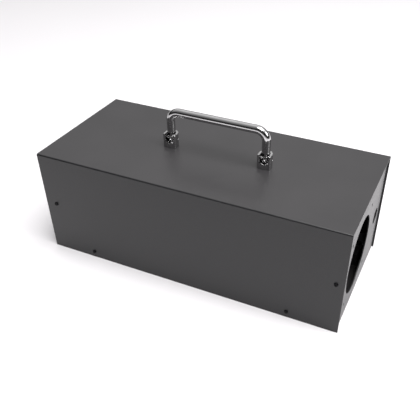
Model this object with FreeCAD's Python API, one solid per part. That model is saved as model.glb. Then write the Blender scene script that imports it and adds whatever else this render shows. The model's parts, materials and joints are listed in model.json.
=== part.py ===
"""Battery box: a folded steel case with a folding carry handle and an eight-cell pack inside.

Frame: millimetres, +Z up, X along the case, -Y towards its front, +X towards the fan end.
The origin is the middle of the footprint, on the surface that the case stands on.
"""
import FreeCAD, Part
import math
import os

V = FreeCAD.Vector
RIGHT, BACK, UP = V(1, 0, 0), V(0, 1, 0), V(0, 0, 1)
LEFT, FRONT, DOWN = -RIGHT, -BACK, -UP

# ---- driving dimensions -------------------------------------------------------------------
LENGTH = 380.0              # cover, along X
WIDTH = 170.0               # cover, along Y
HEIGHT = 135.0              # cover, along Z
SHEET = 1.2                 # steel sheet of the cover and the base
BEND_OUTSIDE = 2.0          # outside radius of every fold
END_RECESS = 2.0            # the cover stands past each end panel by this much
FIT = 0.2                   # gap between the cover and the base
PAST = 5.0                  # how far a long cutting tool runs past the faces it cuts
NEAR = 1.0                  # the same for a short one

# base flanges
FLANGE_FLOOR = 18.0         # height of the flanges along the floor's long edges
FLANGE_END = 20.0           # width of the flanges down the end panels' edges
FLANGE_TOP = 14.0           # width of the flanges along the end panels' tops
CORNER_RELIEF = 2.6         # notch that keeps the folds apart at each corner

# fan end
FAN_Y, FAN_Z = -22.5, 65.0  # middle of the fan opening
FAN_OPENING_R = 45.5
FAN_HOLE_PITCH = 82.5       # square of screw holes for a 92 mm fan
FAN_HOLE_R = 2.15
CABLE_HOLE_Y, CABLE_HOLE_R = 59.0, 10.25

# vent end
VENT_LENGTH, VENT_WIDTH = 44.0, 3.0
VENT_COLUMNS, VENT_ROWS = 2, 6
VENT_PITCH_Y, VENT_PITCH_Z = 62.0, 9.0

# cover screws (M3, black) and their clinch nuts
SCREW_END_LEFT, SCREW_END_RIGHT = 14.5, 9.5     # from the cover's ends
SCREW_END_Z = 68.5
SCREW_FLOOR_INSET, SCREW_FLOOR_Z = 60.5, 8.2
M3_SHANK_R, M3_BORE_R, M3_HEAD_R, M3_HEAD_H = 1.45, 1.5, 2.9, 1.9
COVER_HEAD_R, COVER_HEAD_H, COVER_SCREW_LENGTH = 2.4, 1.5, 6.5     # small flat heads
CLINCH_NUT_R, CLINCH_NUT_H = 3.2, 1.6

# screw heads and nuts, as shares of their own size
HEAD_ROUNDING = 0.6         # of the head's height
RECESS_WIDTH, RECESS_LENGTH = 0.26, 1.15        # of the head's radius
RECESS_DEPTH = 0.6          # of the head's height
NUT_CHAMFER = 0.9           # top radius of the chamfer, of the corner radius
THREAD_GAP = 0.05           # round a thread in its nut

# handle
HANDLE_X = 5.0              # middle of the handle, over the middle of the pack
HANDLE_PITCH = 120.0        # between the two feet
HANDLE_RISE = 44.5          # bar's centre line above the cover
HANDLE_BEND = 12.0          # centre line radius of the bar's bends
ROD_R = 5.0
NECK_R, BALL_R = 2.6, 3.8   # the bar's turned-down ends
SHOULDER_RISE, SHOULDER_TAPER = 8.0, 1.6        # where the full bar starts, above the pivot
FOOT_R, FOOT_Z = 8.0, 17.5  # the foot's round back is centred on the pivot
FOOT_FRONT = 7.0            # flat front face, ahead of the pivot
FOOT_EDGE, FOOT_RIM = 1.0, 0.6                  # rounding of the front corners and of the rim
PIVOT_RISE = 11.0           # pivot pin above the cover
SLOT_GAP = 0.3              # clearance of the folded bar in the slot
SLOT_R = ROD_R + SLOT_GAP
SLOT_BEVEL = 0.8
PIN_R, PIN_RUNNING_GAP, PIN_SHORT = 1.5, 0.05, 0.5
M4_SHANK_R, M4_BORE_R, M4_HEAD_R, M4_HEAD_H = 1.95, 2.0, 4.0, 2.9
HANDLE_THREAD, SCREW_TIP_GAP = 4.6, 0.2         # hole in the foot; what the screw leaves free
WASHER_R, WASHER_H = 6.0, 1.0

# battery pack: prismatic cells side by side along X
CELLS = 8
CELL_X, CELL_Y, CELL_Z, CELL_CORNER = 27.0, 148.0, 94.0, 2.5
BURST_DISC = (20.0, 8.0, 0.8)                   # length, width and depth
SPACER, SPACER_INSET_Y, SPACER_INSET_Z = 1.0, 2.0, 1.0
PAD = 3.0                   # foam under the cells
END_PLATE, END_PLATE_Z, END_PLATE_Y, END_FOOT = 3.0, 92.0, 162.0, 20.0
TERMINAL_Y = 52.0
POST_R, POST_H, STUD_R, STUD_H = 8.0, 2.5, 3.0, 11.0
BUSBAR_W, BUSBAR_T = 18.0, 2.0
TIE_Y, TIE_Z, TIE_OVERHANG = 77.5, (28.0, 76.0), 7.0
M5_R, M5_BORE_R = 2.45, 2.5
M3_NUT, M5_NUT, M6_NUT = (5.5, 2.4), (8.0, 4.0), (10.0, 5.0)    # across flats, thickness
FLOOR_STUD_Y, STUD_HEAD_R, FLOOR_STUD_H = 50.0, 4.0, 11.0

# management board, fuse and output block
BMS_X, BMS_Y, BMS_Z, BMS_BOTTOM = 14.0, 130.0, 66.0, 20.0
BMS_TERMINAL_Y, BMS_TERMINAL_Z = (-52.0, 20.0), 66.0
BMS_CORNER, BMS_SCREW_INSET, BMS_LOWER_SCREW = 1.5, 4.0, 43.0
RIB_GROOVES, RIB_PITCH, RIB_GROOVE, RIB_DEPTH = 6, 5.0, 2.5, 3.0
FUSE_Y, FUSE_Z, FUSE_PITCH = -28.0, 57.0, 48.0
FUSE_BASE = (10.0, 72.0, 26.0)
FUSE_BLADE, FUSE_BLADE_W, FUSE_BLADE_END = 1.5, 11.0, 7.0
FUSE_BODY, FUSE_CORNER = (7.0, 24.0, 12.0), 1.5
FUSE_SCREW_Z = 9.5          # above and below the fuse's centre line
BLOCK_CENTRE = V(165.0, 56.0, 0.0)
BLOCK = (30.0, 44.0, 20.0)
BLOCK_STUD_Y = 11.0
BLOCK_WELL, BLOCK_WEB = 8.0, 5.0                # stud depth; thickness under the fixing nuts
BLOCK_FIXINGS = [BLOCK_CENTRE + V(side * 10.0, 0, 0) for side in (-1, 1)]
BLOCK_FIXING_HEAD_R = 2.6
MOULDING_CORNER, BLOCK_NUT_WELL_R = 2.0, 3.85
STUD_DEPTH, STUD_WELL, BMS_STUD_REACH, OUTPUT_REACH = 5.0, 6.0, 11.0, 12.0
LEAD_R, LEAD_BEND = 3.0, 8.0
LUG_RING_R, LUG_T, LUG_REACH, LUG_BARREL_R = 6.5, 2.0, 19.0, 3.4
LUG_BARREL, LUG_OVERLAP = 10.0, 2.0             # barrel's length; how far the tongue runs under it
LEAD_OVER_CELLS = 3.0       # long lead's centre line above the terminals
LEAD_SIDESTEP = 1.0         # keeps the two leads by the fuse apart

# ---- worked out from the dimensions above -------------------------------------------------
BEND_INSIDE = BEND_OUTSIDE - SHEET
BASE_X = LENGTH / 2 - END_RECESS
BASE_Y = WIDTH / 2 - SHEET - FIT
BASE_TOP = HEIGHT - SHEET - FIT
FLOOR = SHEET
CELL_BOTTOM = FLOOR + PAD
CELL_TOP = CELL_BOTTOM + CELL_Z
TERMINAL_TOP = CELL_TOP + POST_H
PACK_HALF = (CELLS * CELL_X + (CELLS - 1) * SPACER) / 2
PACK_LEFT, PACK_RIGHT = HANDLE_X - PACK_HALF, HANDLE_X + PACK_HALF
PLATE_LEFT, PLATE_RIGHT = PACK_LEFT - END_PLATE, PACK_RIGHT + END_PLATE
CELL_CENTRES = [PACK_LEFT + CELL_X / 2 + i * (CELL_X + SPACER) for i in range(CELLS)]
FOOT_CENTRES = {"left": HANDLE_X - HANDLE_PITCH / 2, "right": HANDLE_X + HANDLE_PITCH / 2}
PIVOT_Z = HEIGHT + PIVOT_RISE
FLOOR_STUDS = [V(x, y, 0) for x in (PLATE_LEFT - END_FOOT / 2, PLATE_RIGHT + END_FOOT / 2)
               for y in (-FLOOR_STUD_Y, FLOOR_STUD_Y)]
BMS_FACE = PLATE_LEFT - BMS_X
FUSE_FACE = PLATE_RIGHT + FUSE_BASE[0]


# ---- shapes that several pieces share -----------------------------------------------------
def box(x, y, z):
    """A block between the (low, high) pairs x, y and z."""
    return Part.makeBox(x[1] - x[0], y[1] - y[0], z[1] - z[0], V(x[0], y[0], z[0]))


def centred_box(centre, size):
    return box(*[(c - s / 2, c + s / 2) for c, s in zip(centre, size)])


def cylinder(start, direction, radius, length):
    return Part.makeCylinder(radius, length, start, direction)


def through(radius, height):
    """A tool that drills along Z from below z = 0 to above height."""
    return cylinder(DOWN * NEAR, UP, radius, height + 2 * NEAR)


def placed(shape, position, direction=UP):
    """A copy whose own origin goes to position and whose own +Z turns to direction."""
    copy = shape.copy()
    copy.Placement = FreeCAD.Placement(position, FreeCAD.Rotation(UP, direction))
    return copy


def rounded(shape, radius, wanted):
    """Fillet the edges for which wanted(edge) is true."""
    return shape.makeFillet(radius, [edge for edge in shape.Edges if wanted(edge)])


def runs_along(edge, axis):
    return abs(abs(edge.tangentAt(edge.FirstParameter).dot(axis)) - 1) < 1e-6


def middle(edge):
    return edge.CenterOfMass


def is_at(value, wanted):
    return abs(value - wanted) < 1e-6


def obround(length, width, height):
    """A flat bar along X with round ends, standing on z = 0."""
    straight = length - width
    bar = centred_box(V(0, 0, height / 2), (straight, width, height))
    ends = [cylinder(V(side * straight / 2, 0, 0), UP, width / 2, height) for side in (-1, 1)]
    return bar.fuse(ends).removeSplitter()


def pan_screw(head_r, head_h, shank_r, length):
    """Cross-recessed pan head standing on z = 0, with its shank below."""
    head = cylinder(V(), UP, head_r, head_h)
    head = rounded(head, head_h * HEAD_ROUNDING, lambda edge: is_at(middle(edge).z, head_h))
    slot_w, slot_l, depth = head_r * RECESS_WIDTH, head_r * RECESS_LENGTH, head_h * RECESS_DEPTH
    cross = [centred_box(V(0, 0, head_h), size)
             for size in ((slot_l, slot_w, 2 * depth), (slot_w, slot_l, 2 * depth))]
    return head.cut(cross).fuse(cylinder(V(), DOWN, shank_r, length)).removeSplitter()


def hex_nut(size, bore_r):
    """Hexagon nut standing on z = 0."""
    across_flats, height = size
    corner_r = across_flats / math.sqrt(3)
    corners = [V(corner_r * math.cos(a), corner_r * math.sin(a), 0)
               for a in (math.radians(60 * i) for i in range(7))]
    prism = Part.Face(Part.makePolygon(corners)).extrude(UP * height)
    dome = Part.makeCone(corner_r + height, corner_r * NUT_CHAMFER, height)
    return prism.common(dome).cut(through(bore_r, height))


def clinch_stud(head_r, shank_r, height):
    """Stud whose flat head fills a hole in the floor, standing on z = 0."""
    head = cylinder(V(), UP, head_r, SHEET)
    return head.fuse(cylinder(V(), UP, shank_r, height)).removeSplitter()


def tube_along(points, radius, bend):
    """A round bar along straight runs, with an arc of radius bend at each inner point."""
    edges, start = [], points[0]
    for before, corner, after in zip(points, points[1:], points[2:]):
        back_way = (before - corner).normalize()
        ahead = (after - corner).normalize()
        half = back_way.getAngle(ahead) / 2
        setback = bend / math.tan(half)
        arc_in, arc_out = corner + back_way * setback, corner + ahead * setback
        to_centre = (back_way + ahead).normalize()
        nearest = corner + to_centre * (bend / math.sin(half) - bend)
        edges += [Part.makeLine(start, arc_in), Part.Arc(arc_in, nearest, arc_out).toShape()]
        start = arc_out
    edges.append(Part.makeLine(start, points[-1]))
    ring = Part.Wire(Part.Circle(points[0], points[1] - points[0], radius).toShape())
    return Part.Wire(edges).makePipeShell([ring], True, False)


# ---- case ---------------------------------------------------------------------------------
def cover_screw_places():
    """Where the M3 screws meet the cover: (point on the outside face, outward direction)."""
    ends = [(-LENGTH / 2 + SCREW_END_LEFT, SCREW_END_Z), (LENGTH / 2 - SCREW_END_RIGHT, SCREW_END_Z)]
    floor = [(side * (LENGTH / 2 - SCREW_FLOOR_INSET), SCREW_FLOOR_Z) for side in (-1, 1)]
    return [(V(x, outward.y * WIDTH / 2, z), outward)
            for outward in (FRONT, BACK) for x, z in ends + floor]


def make_cover():
    """Top, front and back folded from one sheet."""
    def top_fold(z):
        return lambda edge: runs_along(edge, RIGHT) and is_at(middle(edge).z, z)
    outside = box((-LENGTH / 2, LENGTH / 2), (-WIDTH / 2, WIDTH / 2), (0, HEIGHT))
    outside = rounded(outside, BEND_OUTSIDE, top_fold(HEIGHT))
    inner_y, inner_top = WIDTH / 2 - SHEET, HEIGHT - SHEET
    inside = box((-LENGTH / 2 - PAST, LENGTH / 2 + PAST), (-inner_y, inner_y), (-PAST, inner_top))
    inside = rounded(inside, BEND_INSIDE, top_fold(inner_top))
    holes = [cylinder(point + outward * NEAR, -outward, M3_BORE_R, SHEET + 2 * NEAR)
             for point, outward in cover_screw_places()]
    holes += [cylinder(V(x, 0, HEIGHT + NEAR), DOWN, M4_BORE_R, SHEET + 2 * NEAR)
              for x in FOOT_CENTRES.values()]
    return outside.cut(inside).cut(holes)


def base_blank():
    """Floor, end panels and every flange as one closed skin, before its windows are cut."""
    outside = box((-BASE_X, BASE_X), (-BASE_Y, BASE_Y), (0, BASE_TOP))
    x, y = BASE_X - SHEET, BASE_Y - SHEET
    inside = box((-x, x), (-y, y), (SHEET, BASE_TOP - SHEET))
    outside = outside.makeFillet(BEND_OUTSIDE, outside.Edges)
    inside = inside.makeFillet(BEND_INSIDE, inside.Edges)
    return outside.cut(inside)


def base_windows():
    """What is open between the flanges, and the notches at the folded corners."""
    wide = (-BASE_Y - PAST, BASE_Y + PAST)
    side_x, top_x = BASE_X - FLANGE_END, BASE_X - FLANGE_TOP
    sides = box((-side_x, side_x), wide, (FLANGE_FLOOR, HEIGHT))
    top = box((-top_x, top_x), wide, (BASE_TOP - 2 * SHEET, HEIGHT))
    size = (2 * CORNER_RELIEF,) * 3
    corners = [centred_box(V(x, y, z), size)
               for x in (-BASE_X, BASE_X) for y in (-BASE_Y, BASE_Y) for z in (0, BASE_TOP)]
    return [sides, top] + corners


def base_holes():
    fan_face = V(BASE_X - PAST, FAN_Y, FAN_Z)
    holes = [cylinder(fan_face, RIGHT, FAN_OPENING_R, 2 * PAST)]
    half = FAN_HOLE_PITCH / 2
    holes += [cylinder(fan_face + V(0, y, z), RIGHT, FAN_HOLE_R, 2 * PAST)
              for y in (-half, half) for z in (-half, half)]
    holes.append(cylinder(V(BASE_X - PAST, CABLE_HOLE_Y, FAN_Z), RIGHT, CABLE_HOLE_R, 2 * PAST))
    holes += [cylinder(point + outward * NEAR, -outward, M3_BORE_R, 2 * PAST)
              for point, outward in cover_screw_places()]
    holes += [placed(through(STUD_HEAD_R, SHEET), spot) for spot in FLOOR_STUDS]
    holes += [placed(through(BLOCK_FIXING_HEAD_R, SHEET), spot) for spot in BLOCK_FIXINGS]
    return holes


def vent_slots():
    slot = obround(VENT_LENGTH, VENT_WIDTH, 2 * PAST)
    slots = []
    for column in range(VENT_COLUMNS):
        for row in range(VENT_ROWS):
            y = (column - (VENT_COLUMNS - 1) / 2) * VENT_PITCH_Y
            z = HEIGHT / 2 + (row - (VENT_ROWS - 1) / 2) * VENT_PITCH_Z
            turned = slot.copy()
            turned.Placement = FreeCAD.Placement(
                V(-BASE_X - PAST, y, z), FreeCAD.Rotation(BACK, UP, RIGHT, "ZXY"))
            slots.append(turned)
    return slots


def make_base():
    """Floor and both end panels folded from one sheet."""
    return base_blank().cut(base_windows()).cut(base_holes() + vent_slots())


def make_cover_screws():
    screw = pan_screw(COVER_HEAD_R, COVER_HEAD_H, M3_SHANK_R, COVER_SCREW_LENGTH)
    return Part.makeCompound([placed(screw, point, outward)
                              for point, outward in cover_screw_places()])


def make_clinch_nuts():
    """Round nuts pressed onto the inside of the base's flanges."""
    nut = cylinder(V(), UP, CLINCH_NUT_R, CLINCH_NUT_H)
    nut = nut.cut(through(M3_BORE_R, CLINCH_NUT_H))
    inset = WIDTH / 2 - BASE_Y + SHEET
    return Part.makeCompound([placed(nut, point - outward * inset, -outward)
                              for point, outward in cover_screw_places()])


# ---- handle -------------------------------------------------------------------------------
def bar_end(x):
    """Shoulder, neck and ball at the lower end of the bar, before the ball is drilled."""
    pivot = V(x, 0, PIVOT_Z)
    taper_start = SHOULDER_RISE - SHOULDER_TAPER
    taper = Part.makeCone(NECK_R, ROD_R, SHOULDER_TAPER, pivot + UP * taper_start, UP)
    return Part.makeSphere(BALL_R, pivot).fuse([cylinder(pivot, UP, NECK_R, taper_start), taper])


def make_handle_bar():
    """Round bar bent into a U, with ball ends drilled for the pivot pins."""
    sides = FOOT_CENTRES.values()
    left, right = sides
    shoulder, top = PIVOT_Z + SHOULDER_RISE, HEIGHT + HANDLE_RISE
    corners = [V(left, 0, shoulder), V(left, 0, top), V(right, 0, top), V(right, 0, shoulder)]
    bar = tube_along(corners, ROD_R, HANDLE_BEND)
    bar = bar.fuse([bar_end(x) for x in sides]).removeSplitter()
    bore_r = PIN_R + PIN_RUNNING_GAP
    return bar.cut([cylinder(V(x - PAST, 0, PIVOT_Z), RIGHT, bore_r, 2 * PAST) for x in sides])


def foot_blank(x):
    """Foot with a flat front and a round back, before its slot is cut."""
    front = box((x - FOOT_R, x + FOOT_R), (-FOOT_FRONT, 0), (HEIGHT, HEIGHT + FOOT_Z))
    front = rounded(front, FOOT_EDGE,
                    lambda edge: runs_along(edge, UP) and is_at(middle(edge).y, -FOOT_FRONT))
    blank = front.fuse(cylinder(V(x, 0, HEIGHT), UP, FOOT_R, FOOT_Z)).removeSplitter()
    return rounded(blank, FOOT_RIM, lambda edge: is_at(middle(edge).z, HEIGHT + FOOT_Z))


def slot_flare(x):
    """The bevel round the slot where it opens to the front."""
    wide, deep, front = SLOT_R + SLOT_BEVEL, SLOT_BEVEL, -FOOT_FRONT
    corners = [V(x - wide, front, PIVOT_Z), V(x + wide, front, PIVOT_Z),
               V(x + SLOT_R, front + deep, PIVOT_Z), V(x - SLOT_R, front + deep, PIVOT_Z)]
    sides = Part.Face(Part.makePolygon(corners + corners[:1])).extrude(UP * FOOT_Z)
    return sides.fuse(Part.makeCone(wide, SLOT_R, deep, V(x, front, PIVOT_Z), BACK))


def make_foot(x):
    """Cast foot: a slot open to the top and the front holds the end of the bar."""
    pivot, front = V(x, 0, PIVOT_Z), -FOOT_FRONT - PAST
    slot = box((x - SLOT_R, x + SLOT_R), (front, 0), (PIVOT_Z, HEIGHT + FOOT_Z + PAST))
    well = cylinder(pivot, UP, SLOT_R, FOOT_Z)
    trough = cylinder(V(x, front, PIVOT_Z), BACK, SLOT_R, -front)
    seat = Part.makeSphere(SLOT_R, pivot)
    foot = foot_blank(x).cut([slot.fuse([well, trough, seat]), slot_flare(x)])
    pin_hole = cylinder(V(x - 2 * FOOT_R, 0, PIVOT_Z), RIGHT, PIN_R, 4 * FOOT_R)
    thread = cylinder(V(x, 0, HEIGHT - NEAR), UP, M4_BORE_R, HANDLE_THREAD + NEAR)
    return foot.cut([pin_hole, thread])


def make_pin(x):
    """Pivot pin, just below flush in the foot's two cheeks."""
    length = 2 * FOOT_R - PIN_SHORT
    return cylinder(V(x - length / 2, 0, PIVOT_Z), RIGHT, PIN_R, length)


def make_handle_washers():
    ring = cylinder(V(), UP, WASHER_R, WASHER_H).cut(through(M4_BORE_R, WASHER_H))
    seat = HEIGHT - SHEET - WASHER_H
    return Part.makeCompound([placed(ring, V(x, 0, seat)) for x in FOOT_CENTRES.values()])


def make_handle_screws():
    """Screws up through the cover into the feet, heads inside the case."""
    length = WASHER_H + SHEET + HANDLE_THREAD - SCREW_TIP_GAP
    screw = pan_screw(M4_HEAD_R, M4_HEAD_H, M4_SHANK_R, length)
    seat = HEIGHT - SHEET - WASHER_H
    return Part.makeCompound([placed(screw, V(x, 0, seat), DOWN) for x in FOOT_CENTRES.values()])


# ---- battery pack -------------------------------------------------------------------------
def make_pad():
    return box((PACK_LEFT, PACK_RIGHT), (-CELL_Y / 2, CELL_Y / 2), (FLOOR, CELL_BOTTOM))


def make_cell(x):
    """Prismatic cell: rounded can, two posts with studs, and a shallow burst disc."""
    can = box((x - CELL_X / 2, x + CELL_X / 2), (-CELL_Y / 2, CELL_Y / 2), (CELL_BOTTOM, CELL_TOP))
    can = rounded(can, CELL_CORNER, lambda edge: runs_along(edge, UP))
    for y in (-TERMINAL_Y, TERMINAL_Y):
        can = can.fuse([cylinder(V(x, y, CELL_TOP), UP, POST_R, POST_H),
                        cylinder(V(x, y, CELL_TOP), UP, STUD_R, STUD_H)])
    length, width, depth = BURST_DISC
    disc = placed(obround(length, width, depth + NEAR), V(x, 0, CELL_TOP - depth))
    return can.removeSplitter().cut(disc)


def make_spacers():
    """Insulating sheets between neighbouring cells."""
    low, high = CELL_BOTTOM + SPACER_INSET_Z, CELL_TOP - SPACER_INSET_Z
    half_y = CELL_Y / 2 - SPACER_INSET_Y
    starts = [x + CELL_X / 2 for x in CELL_CENTRES[:-1]]
    return Part.makeCompound([box((x, x + SPACER), (-half_y, half_y), (low, high)) for x in starts])


def make_end_plate(face, outward, m3_places):
    """L-shaped clamp plate; face is the x of its inner side, outward is -1 or +1."""
    far, toe = face + outward * END_PLATE, face + outward * (END_PLATE + END_FOOT)
    half_y = END_PLATE_Y / 2
    plate = box(sorted((face, far)), (-half_y, half_y), (FLOOR, FLOOR + END_PLATE_Z))
    foot = box(sorted((face, toe)), (-half_y, half_y), (FLOOR, FLOOR + END_PLATE))
    plate = plate.fuse(foot).removeSplitter()
    start, through = face - outward * PAST, RIGHT * outward
    holes = [cylinder(V(start, y, z), through, M5_BORE_R, 3 * PAST) for y, z in tie_lines()]
    holes += [cylinder(V(start, y, z), through, M3_BORE_R, 3 * PAST) for y, z in m3_places]
    stud_x = far + outward * END_FOOT / 2
    holes += [cylinder(V(stud_x, side * FLOOR_STUD_Y, 0), UP, M5_BORE_R, 2 * PAST) for side in (-1, 1)]
    return plate.cut(holes)


def tie_lines():
    return [(side * TIE_Y, z) for side in (-1, 1) for z in TIE_Z]


def make_tie_rods():
    start = PLATE_LEFT - TIE_OVERHANG
    length = PLATE_RIGHT + TIE_OVERHANG - start
    return Part.makeCompound([cylinder(V(start, y, z), RIGHT, M5_R, length) for y, z in tie_lines()])


def make_tie_rod_nuts():
    nut = hex_nut(M5_NUT, M5_BORE_R)
    return Part.makeCompound([placed(nut, V(x, y, z), outward) for y, z in tie_lines()
                              for x, outward in ((PLATE_LEFT, LEFT), (PLATE_RIGHT, RIGHT))])


def make_floor_studs():
    """Clinch studs, flush under the floor, that hold the clamp plates' feet."""
    stud = clinch_stud(STUD_HEAD_R, M5_R, FLOOR_STUD_H)
    return Part.makeCompound([placed(stud, spot) for spot in FLOOR_STUDS])


def make_floor_nuts():
    nut = hex_nut(M5_NUT, M5_BORE_R)
    seat = V(0, 0, FLOOR + END_PLATE)
    return Part.makeCompound([placed(nut, spot + seat) for spot in FLOOR_STUDS])


def make_busbar(index):
    """Bar that joins cell index to the next; the joined side alternates."""
    y = TERMINAL_Y if index % 2 == 0 else -TERMINAL_Y
    pitch = CELL_X + SPACER
    centre = V(CELL_CENTRES[index] + pitch / 2, y, TERMINAL_TOP)
    bar = placed(obround(pitch + BUSBAR_W, BUSBAR_W, BUSBAR_T), centre)
    hole = through(STUD_R + 2 * THREAD_GAP, BUSBAR_T)
    holes = [placed(hole, V(CELL_CENTRES[i], y, TERMINAL_TOP)) for i in (index, index + 1)]
    return bar.cut(holes)


def make_terminal_nuts():
    nut = hex_nut(M6_NUT, STUD_R + THREAD_GAP)
    seat = TERMINAL_TOP + BUSBAR_T
    return Part.makeCompound([placed(nut, V(x, y, seat)) for x in CELL_CENTRES
                              for y in (-TERMINAL_Y, TERMINAL_Y)])


# ---- management board, fuse and output ----------------------------------------------------
def bms_studs():
    return [V(BMS_FACE, y, BMS_TERMINAL_Z) for y in BMS_TERMINAL_Y]


def fuse_studs():
    return [V(FUSE_FACE, FUSE_Y + side * FUSE_PITCH / 2, FUSE_Z) for side in (-1, 1)]


def block_studs():
    return [BLOCK_CENTRE + V(0, side * BLOCK_STUD_Y, FLOOR + BLOCK[2]) for side in (-1, 1)]


def make_bms_case():
    """Aluminium case of the management board, ribbed on its outer face."""
    centre = V((PLATE_LEFT + BMS_FACE) / 2, 0, BMS_BOTTOM + BMS_Z / 2)
    case = centred_box(centre, (BMS_X, BMS_Y, BMS_Z))
    case = rounded(case, BMS_CORNER, lambda edge: runs_along(edge, RIGHT))
    grooves = [box((BMS_FACE - NEAR, BMS_FACE + RIB_DEPTH), (-BMS_Y, BMS_Y), (z, z + RIB_GROOVE))
               for z in [BMS_BOTTOM + RIB_PITCH * (i + 1) for i in range(RIB_GROOVES)]]
    wells = [cylinder(stud, RIGHT, M5_BORE_R, STUD_WELL) for stud in bms_studs()]
    screws = [cylinder(V(BMS_FACE - NEAR, y, z), RIGHT, M3_BORE_R, BMS_X + 2 * NEAR)
              for y, z in bms_screw_places()]
    return case.cut(grooves + wells + screws)


def bms_screw_places():
    half = BMS_Y / 2 - BMS_SCREW_INSET
    return [(y, BMS_BOTTOM + rise) for y in (-half, half)
            for rise in (BMS_Z - BMS_SCREW_INSET, BMS_LOWER_SCREW)]


def make_bms_screws():
    screw = pan_screw(M3_HEAD_R, M3_HEAD_H, M3_SHANK_R, BMS_X + END_PLATE)
    return Part.makeCompound([placed(screw, V(BMS_FACE, y, z), LEFT) for y, z in bms_screw_places()])


def make_bms_studs():
    """Threaded terminals standing out of the board's case."""
    length = STUD_DEPTH + BMS_STUD_REACH
    return Part.makeCompound([cylinder(stud + RIGHT * STUD_DEPTH, LEFT, M5_R, length)
                              for stud in bms_studs()])


def make_fuse_holder():
    """Moulded base on the clamp plate, with two wells for the terminal studs."""
    centre = V((PLATE_RIGHT + FUSE_FACE) / 2, FUSE_Y, FUSE_Z)
    base = rounded(centred_box(centre, FUSE_BASE), MOULDING_CORNER,
                   lambda edge: runs_along(edge, RIGHT))
    wells = [cylinder(stud, LEFT, M5_BORE_R, STUD_WELL) for stud in fuse_studs()]
    screws = [cylinder(V(FUSE_FACE + NEAR, y, z), LEFT, M3_BORE_R, FUSE_BASE[0] + 2 * NEAR)
              for y, z in fuse_screw_places()]
    return base.cut(wells + screws)


def fuse_screw_places():
    return [(FUSE_Y, FUSE_Z + side * FUSE_SCREW_Z) for side in (-1, 1)]


def make_fuse_screws():
    screw = pan_screw(M3_HEAD_R, M3_HEAD_H, M3_SHANK_R, FUSE_BASE[0] + END_PLATE)
    return Part.makeCompound([placed(screw, V(FUSE_FACE, y, z), RIGHT)
                              for y, z in fuse_screw_places()])


def make_fuse_studs():
    length = STUD_DEPTH + OUTPUT_REACH
    return Part.makeCompound([cylinder(stud + LEFT * STUD_DEPTH, RIGHT, M5_R, length)
                              for stud in fuse_studs()])


def make_fuse_link():
    """Bolt-down fuse: a blade between the studs with a body round its middle."""
    back = FUSE_FACE + LUG_T
    blade_size = (FUSE_BLADE, FUSE_PITCH + 2 * FUSE_BLADE_END, FUSE_BLADE_W)
    blade = centred_box(V(back + FUSE_BLADE / 2, FUSE_Y, FUSE_Z), blade_size)
    holes = [cylinder(stud, RIGHT, M5_BORE_R, 2 * PAST) for stud in fuse_studs()]
    body = centred_box(V(back + FUSE_BODY[0] / 2, FUSE_Y, FUSE_Z), FUSE_BODY)
    body = rounded(body, FUSE_CORNER, lambda edge: runs_along(edge, RIGHT))
    return blade.cut(holes).fuse(body).removeSplitter()


def make_lug_nuts():
    """Nuts on the fuse's and the board's terminal studs."""
    nut = hex_nut(M5_NUT, M5_BORE_R)
    seats = [(stud + RIGHT * (LUG_T + FUSE_BLADE), RIGHT) for stud in fuse_studs()]
    seats += [(stud + LEFT * LUG_T, LEFT) for stud in bms_studs()]
    return Part.makeCompound([placed(nut, seat, outward) for seat, outward in seats])


def make_output_block():
    """Moulded block on the floor with two studs for the leads that leave the case."""
    low, high = FLOOR, FLOOR + BLOCK[2]
    centre = BLOCK_CENTRE + V(0, 0, (low + high) / 2)
    block = rounded(centred_box(centre, BLOCK), MOULDING_CORNER, lambda edge: runs_along(edge, UP))
    wells = [cylinder(stud, DOWN, STUD_R, BLOCK_WELL) for stud in block_studs()]
    for spot in BLOCK_FIXINGS:
        wells.append(cylinder(spot, UP, M3_BORE_R, high + NEAR))
        wells.append(cylinder(spot + UP * (low + BLOCK_WEB), UP, BLOCK_NUT_WELL_R, high))
    return block.cut(wells)


def make_block_fixings():
    """Small clinch studs, flush under the floor, inside the output block."""
    stud = clinch_stud(BLOCK_FIXING_HEAD_R, M3_SHANK_R, FLOOR + BLOCK_WEB + 2 * M3_NUT[1])
    return Part.makeCompound([placed(stud, spot) for spot in BLOCK_FIXINGS])


def make_block_nuts():
    nut = hex_nut(M3_NUT, M3_BORE_R)
    return Part.makeCompound([placed(nut, spot + UP * (FLOOR + BLOCK_WEB)) for spot in BLOCK_FIXINGS])


def make_output_studs():
    length = BLOCK_WELL + OUTPUT_REACH
    return Part.makeCompound([cylinder(stud + DOWN * BLOCK_WELL, UP, STUD_R, length)
                              for stud in block_studs()])


def make_output_nuts():
    nut = hex_nut(M6_NUT, STUD_R + THREAD_GAP)
    return Part.makeCompound([placed(nut, stud + UP * LUG_T) for stud in block_studs()])


# ---- leads --------------------------------------------------------------------------------
def lug_sites():
    """Stud, stud direction and barrel direction of every cable lug."""
    first, last = CELL_CENTRES[0], CELL_CENTRES[-1]
    fuse_in, fuse_out = fuse_studs()
    bms_in, bms_out = bms_studs()
    block_plus, block_minus = block_studs()
    return {
        "pack_plus": (V(last, -TERMINAL_Y, TERMINAL_TOP), UP, RIGHT),
        "pack_minus": (V(first, -TERMINAL_Y, TERMINAL_TOP), UP, LEFT),
        "fuse_in": (fuse_in, RIGHT, UP),
        "fuse_out": (fuse_out, RIGHT, DOWN),
        "bms_in": (bms_in, LEFT, UP),
        "bms_out": (bms_out, LEFT, UP),
        "block_plus": (block_plus, UP, LEFT),
        "block_minus": (block_minus, UP, LEFT),
    }


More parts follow.
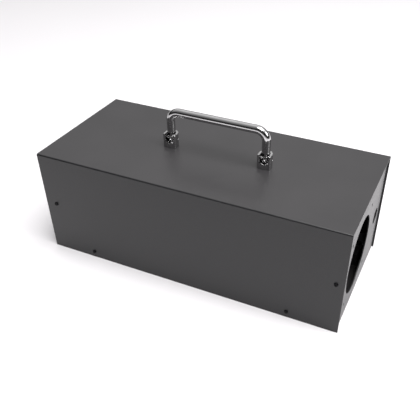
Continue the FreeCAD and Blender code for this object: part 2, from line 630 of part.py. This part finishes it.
def make_lugs():
    """Ring lugs: a flat ring on the stud and a crimped barrel beyond it."""
    ring = cylinder(V(), UP, LUG_RING_R, LUG_T)
    barrel_start = LUG_REACH - LUG_BARREL
    tongue = box((0, barrel_start + LUG_OVERLAP), (-LUG_BARREL_R, LUG_BARREL_R), (0, LUG_T))
    barrel = cylinder(V(barrel_start, 0, LUG_BARREL_R), RIGHT, LUG_BARREL_R, LUG_BARREL)
    lug = ring.fuse([tongue, barrel]).removeSplitter()
    lugs = []
    for stud, stud_way, barrel_way in lug_sites().values():
        hole_r = STUD_R + THREAD_GAP if stud_way == UP else M5_BORE_R
        copy = lug.cut(through(hole_r, LUG_T))
        turn = FreeCAD.Rotation(barrel_way, stud_way.cross(barrel_way), stud_way, "ZXY")
        copy.Placement = FreeCAD.Placement(stud, turn)
        lugs.append(copy)
    return Part.makeCompound(lugs)


def barrel_end(site):
    """Where a lead leaves the lug of this name."""
    stud, stud_way, barrel_way = lug_sites()[site]
    return stud + barrel_way * LUG_REACH + stud_way * LUG_BARREL_R


def make_pack_plus_lead():
    start, end = barrel_end("pack_plus"), barrel_end("fuse_in")
    return tube_along([start, V(end.x, start.y, start.z), end], LEAD_R, LEAD_BEND)


def make_pack_minus_lead():
    start, end = barrel_end("pack_minus"), barrel_end("bms_in")
    return tube_along([start, V(end.x, start.y, start.z), end], LEAD_R, LEAD_BEND)


def make_output_plus_lead():
    start, end = barrel_end("fuse_out"), barrel_end("block_plus")
    points = [start, V(start.x, start.y, end.z), V(start.x, end.y, end.z), end]
    return tube_along(points, LEAD_R, LEAD_BEND)


def make_output_minus_lead():
    """From the board over the cells, between the busbars, and down to the output block."""
    start, end = barrel_end("bms_out"), barrel_end("block_minus")
    over, down_x = TERMINAL_TOP + LEAD_OVER_CELLS, barrel_end("fuse_in").x + LEAD_SIDESTEP
    points = [start, V(start.x, start.y, over), V(down_x, start.y, over),
              V(down_x, end.y, over), V(down_x, end.y, end.z), end]
    return tube_along(points, LEAD_R, LEAD_BEND)


# ---- every piece by its name --------------------------------------------------------------
def make_pieces():
    pieces = {
        "cover": make_cover(),
        "base": make_base(),
        "cover_screws": make_cover_screws(),
        "clinch_nuts": make_clinch_nuts(),
        "handle_bar": make_handle_bar(),
        "handle_washers": make_handle_washers(),
        "handle_screws": make_handle_screws(),
        "pack_pad": make_pad(),
        "cell_spacers": make_spacers(),
        "clamp_plate_left": make_end_plate(PACK_LEFT, -1, bms_screw_places()),
        "clamp_plate_right": make_end_plate(PACK_RIGHT, 1, fuse_screw_places()),
        "tie_rods": make_tie_rods(),
        "tie_rod_nuts": make_tie_rod_nuts(),
        "floor_studs": make_floor_studs(),
        "floor_nuts": make_floor_nuts(),
        "terminal_nuts": make_terminal_nuts(),
        "bms_case": make_bms_case(),
        "bms_screws": make_bms_screws(),
        "bms_studs": make_bms_studs(),
        "fuse_holder": make_fuse_holder(),
        "fuse_screws": make_fuse_screws(),
        "fuse_studs": make_fuse_studs(),
        "fuse_link": make_fuse_link(),
        "lug_nuts": make_lug_nuts(),
        "output_block": make_output_block(),
        "block_fixings": make_block_fixings(),
        "block_nuts": make_block_nuts(),
        "output_studs": make_output_studs(),
        "output_nuts": make_output_nuts(),
        "lugs": make_lugs(),
        "pack_plus_lead": make_pack_plus_lead(),
        "pack_minus_lead": make_pack_minus_lead(),
        "output_plus_lead": make_output_plus_lead(),
        "output_minus_lead": make_output_minus_lead(),
    }
    for side, x in FOOT_CENTRES.items():
        pieces["handle_foot_" + side] = make_foot(x)
        pieces["handle_pin_" + side] = make_pin(x)
    for i, x in enumerate(CELL_CENTRES):
        pieces["cell_%d" % (i + 1)] = make_cell(x)
    for i in range(CELLS - 1):
        pieces["busbar_%d" % (i + 1)] = make_busbar(i)
    return pieces


def main():
    os.makedirs("parts", exist_ok=True)
    for name, shape in make_pieces().items():
        if not shape.isValid() or shape.Volume <= 0:
            raise ValueError("bad shape: " + name)
        shape.exportStep("parts/%s.step" % name)
        print("%-20s %3d solids %10.1f mm3" % (name, len(shape.Solids), shape.Volume))


main()
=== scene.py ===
"""Looks of the battery box: every CAD node keeps its shape and gets a procedural finish here.

Units are metres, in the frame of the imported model.
"""
import json
import math

import bpy
from mathutils import Matrix, Vector

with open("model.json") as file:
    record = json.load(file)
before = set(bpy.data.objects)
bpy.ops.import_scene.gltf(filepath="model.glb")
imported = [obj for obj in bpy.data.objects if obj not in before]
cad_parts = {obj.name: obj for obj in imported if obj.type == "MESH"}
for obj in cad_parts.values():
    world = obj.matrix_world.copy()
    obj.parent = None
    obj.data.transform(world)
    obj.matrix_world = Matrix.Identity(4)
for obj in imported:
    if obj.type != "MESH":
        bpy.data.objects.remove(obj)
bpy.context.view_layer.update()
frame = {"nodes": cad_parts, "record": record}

MM = 0.001
NODES = frame["nodes"]

# what the shader nodes share: the range that most of a noise lies in, the turn between a bevelled
# and a plain normal that counts as an edge, and how far up a normal points on a level top
NOISE_RANGE = (0.35, 0.65)
EDGE_TURN = (0.80, 0.995)
LEVEL_TURN = (0.80, 0.99)
BEVEL_SAMPLES = 4
# the Mix node's colour sockets go by place, because their names are its number sockets' names too
MIX_COLOURS, MIX_RESULT = (6, 7), 2


# Node building ------------------------------------------------------------------------------

def map_range(tree, source, old, new):
    """Takes source from the old range to the new one, and holds it at the ends."""
    made = tree.nodes.new("ShaderNodeMapRange")
    for socket, value in zip(("From Min", "From Max", "To Min", "To Max"), (*old, *new)):
        made.inputs[socket].default_value = value
    tree.links.new(source, made.inputs["Value"])
    return made.outputs["Result"]


class Finish:
    """One material, with short calls for the shader nodes that the finishes share."""

    def __init__(self, name, **sockets):
        self.material = bpy.data.materials.new(name)
        self.material.use_nodes = True
        self.tree = self.material.node_tree
        self.shader = self.tree.nodes["Principled BSDF"]
        self.place = self.tree.nodes.new("ShaderNodeTexCoord").outputs["Object"]
        for socket, value in sockets.items():
            self.shader.inputs[socket.replace("_", " ")].default_value = value

    def node(self, kind, **settings):
        made = self.tree.nodes.new("ShaderNode" + kind)
        for key, value in settings.items():
            setattr(made, key, value)
        return made

    def link(self, source, target):
        self.tree.links.new(source, target)

    def feed(self, socket, source):
        self.link(source, self.shader.inputs[socket])

    def stretched(self, along):
        """The place, shrunk along an axis, so that a pattern made from it runs along that axis."""
        mapping = self.node("Mapping")
        mapping.inputs["Scale"].default_value = along
        self.link(self.place, mapping.inputs["Vector"])
        return mapping.outputs["Vector"]

    def noise(self, size, detail=2.0, place=None):
        """Noise from 0 to 1 whose blotches are about as large as size."""
        made = self.node("TexNoise")
        made.inputs["Scale"].default_value = 1.0 / size
        made.inputs["Detail"].default_value = detail
        self.link(place or self.place, made.inputs["Vector"])
        return made.outputs["Fac"]

    def spread(self, source, low, high, old=NOISE_RANGE):
        """Takes source from the old range, a noise's unless told otherwise, to low..high."""
        return map_range(self.tree, source, old, (low, high))

    def math(self, operation, first, second):
        made = self.node("Math", operation=operation)
        for socket, value in zip(made.inputs, (first, second)):
            if isinstance(value, float):
                socket.default_value = value
            else:
                self.link(value, socket)
        return made.outputs["Value"]

    def blend(self, factor, first, second):
        """A colour that goes from first to second as factor goes from 0 to 1."""
        made = self.node("Mix", data_type="RGBA")
        self.link(factor, made.inputs["Factor"])
        for place, value in zip(MIX_COLOURS, (first, second)):
            if isinstance(value, tuple):
                made.inputs[place].default_value = (*value, 1.0)
            else:
                self.link(value, made.inputs[place])
        return made.outputs[MIX_RESULT]

    def edges(self, radius):
        """1 on edges sharper than radius, fading to 0 on the flats."""
        soft = self.node("Bevel", samples=BEVEL_SAMPLES)
        soft.inputs["Radius"].default_value = radius
        sharp = self.node("NewGeometry")
        turn = self.node("VectorMath", operation="DOT_PRODUCT")
        self.link(soft.outputs["Normal"], turn.inputs[0])
        self.link(sharp.outputs["Normal"], turn.inputs[1])
        return self.spread(turn.outputs["Value"], 1.0, 0.0, EDGE_TURN)

    def facing_up(self):
        """1 on level tops, fading to 0 on walls."""
        parts = self.node("SeparateXYZ")
        self.link(self.node("NewGeometry").outputs["Normal"], parts.inputs["Vector"])
        return self.spread(parts.outputs["Z"], 0.0, 1.0, LEVEL_TURN)

    def bump(self, *layers):
        """Stacks bumps, each a height from 0 to 1 and its depth in metres."""
        normal = None
        for height, depth in layers:
            made = self.node("Bump")
            made.inputs["Distance"].default_value = depth
            self.link(height, made.inputs["Height"])
            if normal:
                self.link(normal, made.inputs["Normal"])
            normal = made.outputs["Normal"]
        self.feed("Normal", normal)


# Finishes -----------------------------------------------------------------------------------

def case_paint():
    """Satin black powder coat: fine orange peel, level tops painted lighter as painted light from above,
    rubbed a little along the folds.
    """
    paint = Finish("case_paint", IOR=1.5)
    cloud = paint.noise(70 * MM, 4.0)
    speckle = paint.noise(0.9 * MM, 3.0)
    shade = paint.blend(paint.spread(cloud, 0.0, 1.0), (0.007, 0.007, 0.008), (0.010, 0.010, 0.011))
    grain = paint.blend(paint.spread(speckle, 0.0, 0.35), shade, (0.022, 0.022, 0.024))
    # painted light: the level tops are painted lighter than the walls, in cloudy patches, for the light
    # that falls on them from above
    painted_top_light = paint.math("MULTIPLY", paint.facing_up(), paint.spread(cloud, 0.80, 1.0))
    top_lit_colour = paint.blend(painted_top_light, grain, (0.042, 0.040, 0.042))
    rubbing = paint.spread(paint.noise(6 * MM, 4.0), 0.0, 0.5)
    worn = paint.math("MULTIPLY", paint.edges(0.8 * MM), rubbing)
    paint.feed("Base Color", paint.blend(worn, top_lit_colour, (0.035, 0.035, 0.036)))
    sheen = paint.spread(cloud, 0.30, 0.36)
    paint.feed("Roughness", paint.math("ADD", sheen, paint.spread(speckle, 0.0, 0.05)))
    paint.bump((paint.noise(1.6 * MM, 2.0), 0.012 * MM), (speckle, 0.006 * MM))
    return paint.material


def chrome():
    """Polished chrome plate with hairlines and a few dull patches from handling."""
    plate = Finish("chrome", Metallic=1.0)
    handling = plate.noise(12 * MM, 4.0)
    hairline = plate.noise(0.25 * MM, 2.0, plate.stretched((0.04, 1.0, 1.0)))
    tint = plate.blend(plate.spread(handling, 0.0, 1.0), (0.60, 0.595, 0.60), (0.52, 0.515, 0.52))
    plate.feed("Base Color", tint)
    polish = plate.spread(handling, 0.06, 0.12)
    plate.feed("Roughness", plate.math("ADD", polish, plate.spread(hairline, 0.0, 0.04)))
    plate.bump((hairline, 0.0015 * MM))
    return plate.material


def black_screw():
    """Black oxide on steel, dull on the crown and a little rubbed along sharp edges."""
    oxide = Finish("black_screw", IOR=1.25)
    mottle = oxide.noise(0.8 * MM, 3.0)
    rubbed = oxide.math("MULTIPLY", oxide.edges(0.25 * MM), oxide.spread(mottle, 0.05, 0.25))
    oxide.feed("Base Color", oxide.blend(rubbed, (0.003, 0.003, 0.004), (0.08, 0.08, 0.08)))
    oxide.feed("Metallic", rubbed)
    oxide.feed("Roughness", oxide.spread(mottle, 0.42, 0.56))
    oxide.bump((mottle, 0.010 * MM))
    return oxide.material


def plated(name, light, dark, roughness, grain_size, along=(1.0, 1.0, 1.0)):
    """Bare or plated metal: mottled colour, drawn grain and brighter edges."""
    metal = Finish(name, Metallic=1.0)
    mottle = metal.noise(5 * MM, 4.0)
    grain = metal.noise(grain_size, 2.0, metal.stretched(along))
    body = metal.blend(metal.spread(mottle, 0.0, 1.0), dark, light)
    bright = tuple(min(1.0, 1.15 * value) for value in light)
    rubbed = metal.spread(metal.edges(0.3 * MM), 0.0, 0.7, (0.0, 1.0))
    metal.feed("Base Color", metal.blend(rubbed, body, bright))
    haze = metal.spread(mottle, roughness, roughness + 0.10)
    metal.feed("Roughness", metal.math("ADD", haze, metal.spread(grain, 0.0, 0.08)))
    metal.bump((grain, 0.008 * MM))
    return metal.material


def moulded(name, colour, roughness, grain_size=0.5 * MM, grain_depth=0.02 * MM):
    """Moulded plastic or rubber: spark-eroded grain and slightly scuffed edges."""
    plastic = Finish(name, IOR=1.5)
    grain = plastic.noise(grain_size, 3.0)
    cloud = plastic.noise(20 * MM, 3.0)
    darker = tuple(0.75 * value for value in colour)
    scuffed = tuple(min(1.0, 1.6 * value + 0.03) for value in colour)
    body = plastic.blend(plastic.spread(cloud, 0.0, 1.0), darker, colour)
    wear = plastic.math("MULTIPLY", plastic.edges(0.4 * MM), plastic.spread(grain, 0.1, 0.7))
    plastic.feed("Base Color", plastic.blend(wear, body, scuffed))
    plastic.feed("Roughness", plastic.spread(cloud, roughness, roughness + 0.12))
    plastic.bump((grain, grain_depth))
    return plastic.material


def cell_film():
    """Blue heat-shrink film over an aluminium can: glossy, with faint stretch lines."""
    film = Finish("cell_film", IOR=1.48, Coat_Weight=0.6, Coat_Roughness=0.12)
    cloud = film.noise(30 * MM, 3.0)
    stretch = film.noise(1.2 * MM, 2.0, film.stretched((1.0, 1.0, 0.08)))
    tint = film.blend(film.spread(cloud, 0.0, 1.0), (0.020, 0.085, 0.26), (0.028, 0.115, 0.33))
    film.feed("Base Color", tint)
    film.feed("Roughness", film.spread(stretch, 0.28, 0.42))
    film.bump((stretch, 0.03 * MM), (cloud, 0.15 * MM))
    return film.material


def spacer_board():
    """Glass-epoxy sheet: pale green with the weave of the glass cloth showing through."""
    board = Finish("spacer_board", IOR=1.53)
    strands = []
    for axis in "YZ":
        wave = board.node("TexWave", wave_type="BANDS", bands_direction=axis)
        wave.inputs["Scale"].default_value = 0.3 / MM
        board.link(board.place, wave.inputs["Vector"])
        strands.append(wave.outputs["Fac"])
    cloth = board.math("MULTIPLY", *strands)
    board.feed("Base Color", board.blend(cloth, (0.24, 0.32, 0.10), (0.36, 0.44, 0.18)))
    board.feed("Roughness", board.spread(board.noise(8 * MM), 0.35, 0.5))
    board.bump((cloth, 0.02 * MM))
    return board.material


def pad_foam():
    """Closed-cell foam: dull dark grey with open pores on the cut faces, their hollows painted darker as
    painted shade.
    """
    foam = Finish("pad_foam", IOR=1.4, Roughness=0.95)
    pores = foam.node("TexVoronoi")
    pores.inputs["Scale"].default_value = 1.0 / MM
    foam.link(foam.place, pores.inputs["Vector"])
    # painted shade: the pores are painted darker towards their middles, where the bump dents them
    shade = foam.spread(pores.outputs["Distance"], 1.0, 0.0, (0.1, 0.6))
    foam.feed("Base Color", foam.blend(shade, (0.045, 0.045, 0.05), (0.016, 0.016, 0.018)))
    foam.bump((shade, -0.2 * MM))
    return foam.material


def finishes():
    """Every finish, by the name of its material slot in the record."""
    return {
        "case_paint": case_paint(),
        "chrome": chrome(),
        "black_screw": black_screw(),
        "zinc_steel": plated("zinc_steel", (0.62, 0.63, 0.65), (0.48, 0.49, 0.50), 0.24, 0.4 * MM),
        "clamp_plate": plated("clamp_plate", (0.72, 0.73, 0.74), (0.60, 0.61, 0.62), 0.30, 0.3 * MM,
                              along=(1.0, 0.03, 1.0)),
        "pad_foam": pad_foam(),
        "spacer_board": spacer_board(),
        "cell_film": cell_film(),
        "copper_bar": plated("copper_bar", (0.80, 0.47, 0.34), (0.55, 0.29, 0.19), 0.25, 0.4 * MM),
        "bms_aluminium": plated("bms_aluminium", (0.42, 0.43, 0.45), (0.34, 0.35, 0.37), 0.42, 0.3 * MM),
        "black_moulding": moulded("black_moulding", (0.022, 0.022, 0.024), 0.42),
        "fuse_body": moulded("fuse_body", (0.62, 0.40, 0.04), 0.25),
        "tinned_lug": plated("tinned_lug", (0.70, 0.69, 0.66), (0.58, 0.57, 0.54), 0.28, 0.4 * MM),
        "lead_red": moulded("lead_red", (0.42, 0.012, 0.010), 0.45, 1.5 * MM, 0.03 * MM),
        "lead_black": moulded("lead_black", (0.018, 0.018, 0.019), 0.45, 1.5 * MM, 0.03 * MM),
    }


def dress_nodes():
    """Gives every CAD node the finish of its slot in the record."""
    made = finishes()
    for part in frame["record"]["subparts"]:
        obj = NODES[part["node"]]
        obj.data.materials.clear()
        obj.data.materials.append(made[part["material_slot"]])


# Studio -------------------------------------------------------------------------------------

# a pinhole camera above and to the right of the fan end
CAMERA_PLACE = Vector((0.2620, -0.5348, 0.4716))
CAMERA_AZIMUTH = math.radians(24.28)
CAMERA_ELEVATION = math.radians(38.02)
CAMERA_ROLL = math.radians(0.22)
CAMERA_LENS, CAMERA_SENSOR = 49.42, 36.0
CAMERA_SHIFT = (-0.0464, 0.0748)

# the room's brightness by how far a direction turns towards its bright side, from 0 (away) to 1
ROOM_BRIGHT_SIDE = Vector((-0.25, 0.55, 0.80)).normalized()
ROOM_LEVELS = ((0.55, 0.07), (0.82, 0.40), (1.0, 1.0))
# how much of that is left at the horizon and higher up, by how high the direction points
HORIZON_HEIGHTS, HORIZON_SHARES = (0.20, 0.52), (0.12, 1.0)
BACKDROP = (0.80, 0.80, 0.80)

FLOOR_HALF = 6.0
# every lamp's name, place, size and power in watts
LAMP_TARGET = Vector((0.1, 0.0, 0.0))
LAMPS = (("overhead", Vector((0.7, -0.3, 2.5)), 1.7, 80.0),
         ("right", Vector((1.7, 0.1, 1.1)), 0.9, 14.0))


def add_camera():
    data = bpy.data.cameras.new("camera")
    data.sensor_width = CAMERA_SENSOR
    data.lens = CAMERA_LENS
    data.shift_x, data.shift_y = CAMERA_SHIFT
    camera = bpy.data.objects.new("camera", data)
    turn = Matrix.Rotation(CAMERA_AZIMUTH, 4, "Z")
    tilt = Matrix.Rotation(math.pi / 2 - CAMERA_ELEVATION, 4, "X")
    roll = Matrix.Rotation(CAMERA_ROLL, 4, "Z")
    camera.matrix_world = Matrix.Translation(CAMERA_PLACE) @ turn @ tilt @ roll
    bpy.context.scene.collection.objects.link(camera)
    bpy.context.scene.camera = camera


def add_floor():
    """A wide sheet of pale paper for the case to stand on."""
    corners = [(x * FLOOR_HALF, y * FLOOR_HALF, 0) for x, y in ((-1, -1), (1, -1), (1, 1), (-1, 1))]
    mesh = bpy.data.meshes.new("floor")
    mesh.from_pydata(corners, [], [(0, 1, 2, 3)])
    floor = bpy.data.objects.new("floor", mesh)
    bpy.context.scene.collection.objects.link(floor)
    paper = Finish("floor_paper", IOR=1.4, Roughness=0.7)
    paper.feed("Base Color", paper.blend(paper.noise(0.4), (0.865, 0.845, 0.865), (0.89, 0.87, 0.885)))
    mesh.materials.append(paper.material)


def add_area_light(name, place, size, power):
    data = bpy.data.lights.new(name, "AREA")
    data.size = size
    data.energy = power
    light = bpy.data.objects.new(name, data)
    aim = (LAMP_TARGET - place).to_track_quat("-Z", "Y").to_matrix().to_4x4()
    light.matrix_world = Matrix.Translation(place) @ aim
    bpy.context.scene.collection.objects.link(light)


def room_colour(tree, direction):
    """Grey that brightens as the direction turns towards the room's bright side."""
    towards = tree.nodes.new("ShaderNodeVectorMath")
    towards.operation = "DOT_PRODUCT"
    towards.inputs[1].default_value = ROOM_BRIGHT_SIDE
    tree.links.new(direction, towards.inputs[0])
    ramp = tree.nodes.new("ShaderNodeValToRGB")
    tree.links.new(map_range(tree, towards.outputs["Value"], (-1.0, 1.0), (0.0, 1.0)), ramp.inputs["Fac"])
    stops = ramp.color_ramp.elements
    middle_position, _ = ROOM_LEVELS[1]
    stops.new(middle_position)
    for stop, (position, level) in zip(stops, ROOM_LEVELS):
        stop.position = position
        stop.color = (level, level, level, 1.0)
    return ramp.outputs["Color"]


def room_share(tree, direction):
    """1 high up, fading to a dim horizon."""
    parts = tree.nodes.new("ShaderNodeSeparateXYZ")
    tree.links.new(direction, parts.inputs["Vector"])
    return map_range(tree, parts.outputs["Z"], HORIZON_HEIGHTS, HORIZON_SHARES)


def add_world():
    """A dim room with a bright ceiling behind the object, and a pale backdrop that only the camera sees."""
    world = bpy.data.worlds.new("studio")
    world.use_nodes = True
    tree = world.node_tree
    direction = tree.nodes.new("ShaderNodeTexCoord").outputs["Generated"]
    room = tree.nodes["Background"]
    tree.links.new(room_colour(tree, direction), room.inputs["Color"])
    tree.links.new(room_share(tree, direction), room.inputs["Strength"])
    backdrop = tree.nodes.new("ShaderNodeBackground")
    backdrop.inputs["Color"].default_value = (*BACKDROP, 1.0)
    seen = tree.nodes.new("ShaderNodeLightPath")
    either = tree.nodes.new("ShaderNodeMixShader")
    tree.links.new(seen.outputs["Is Camera Ray"], either.inputs["Fac"])
    for source, socket in zip((room, backdrop), either.inputs[1:]):
        tree.links.new(source.outputs["Background"], socket)
    tree.links.new(either.outputs["Shader"], tree.nodes["World Output"].inputs["Surface"])
    bpy.context.scene.world = world


def build_studio():
    add_world()
    add_floor()
    add_camera()
    for lamp in LAMPS:
        add_area_light(*lamp)
    bpy.context.scene.view_settings.view_transform = "Standard"


build_studio()
dress_nodes()
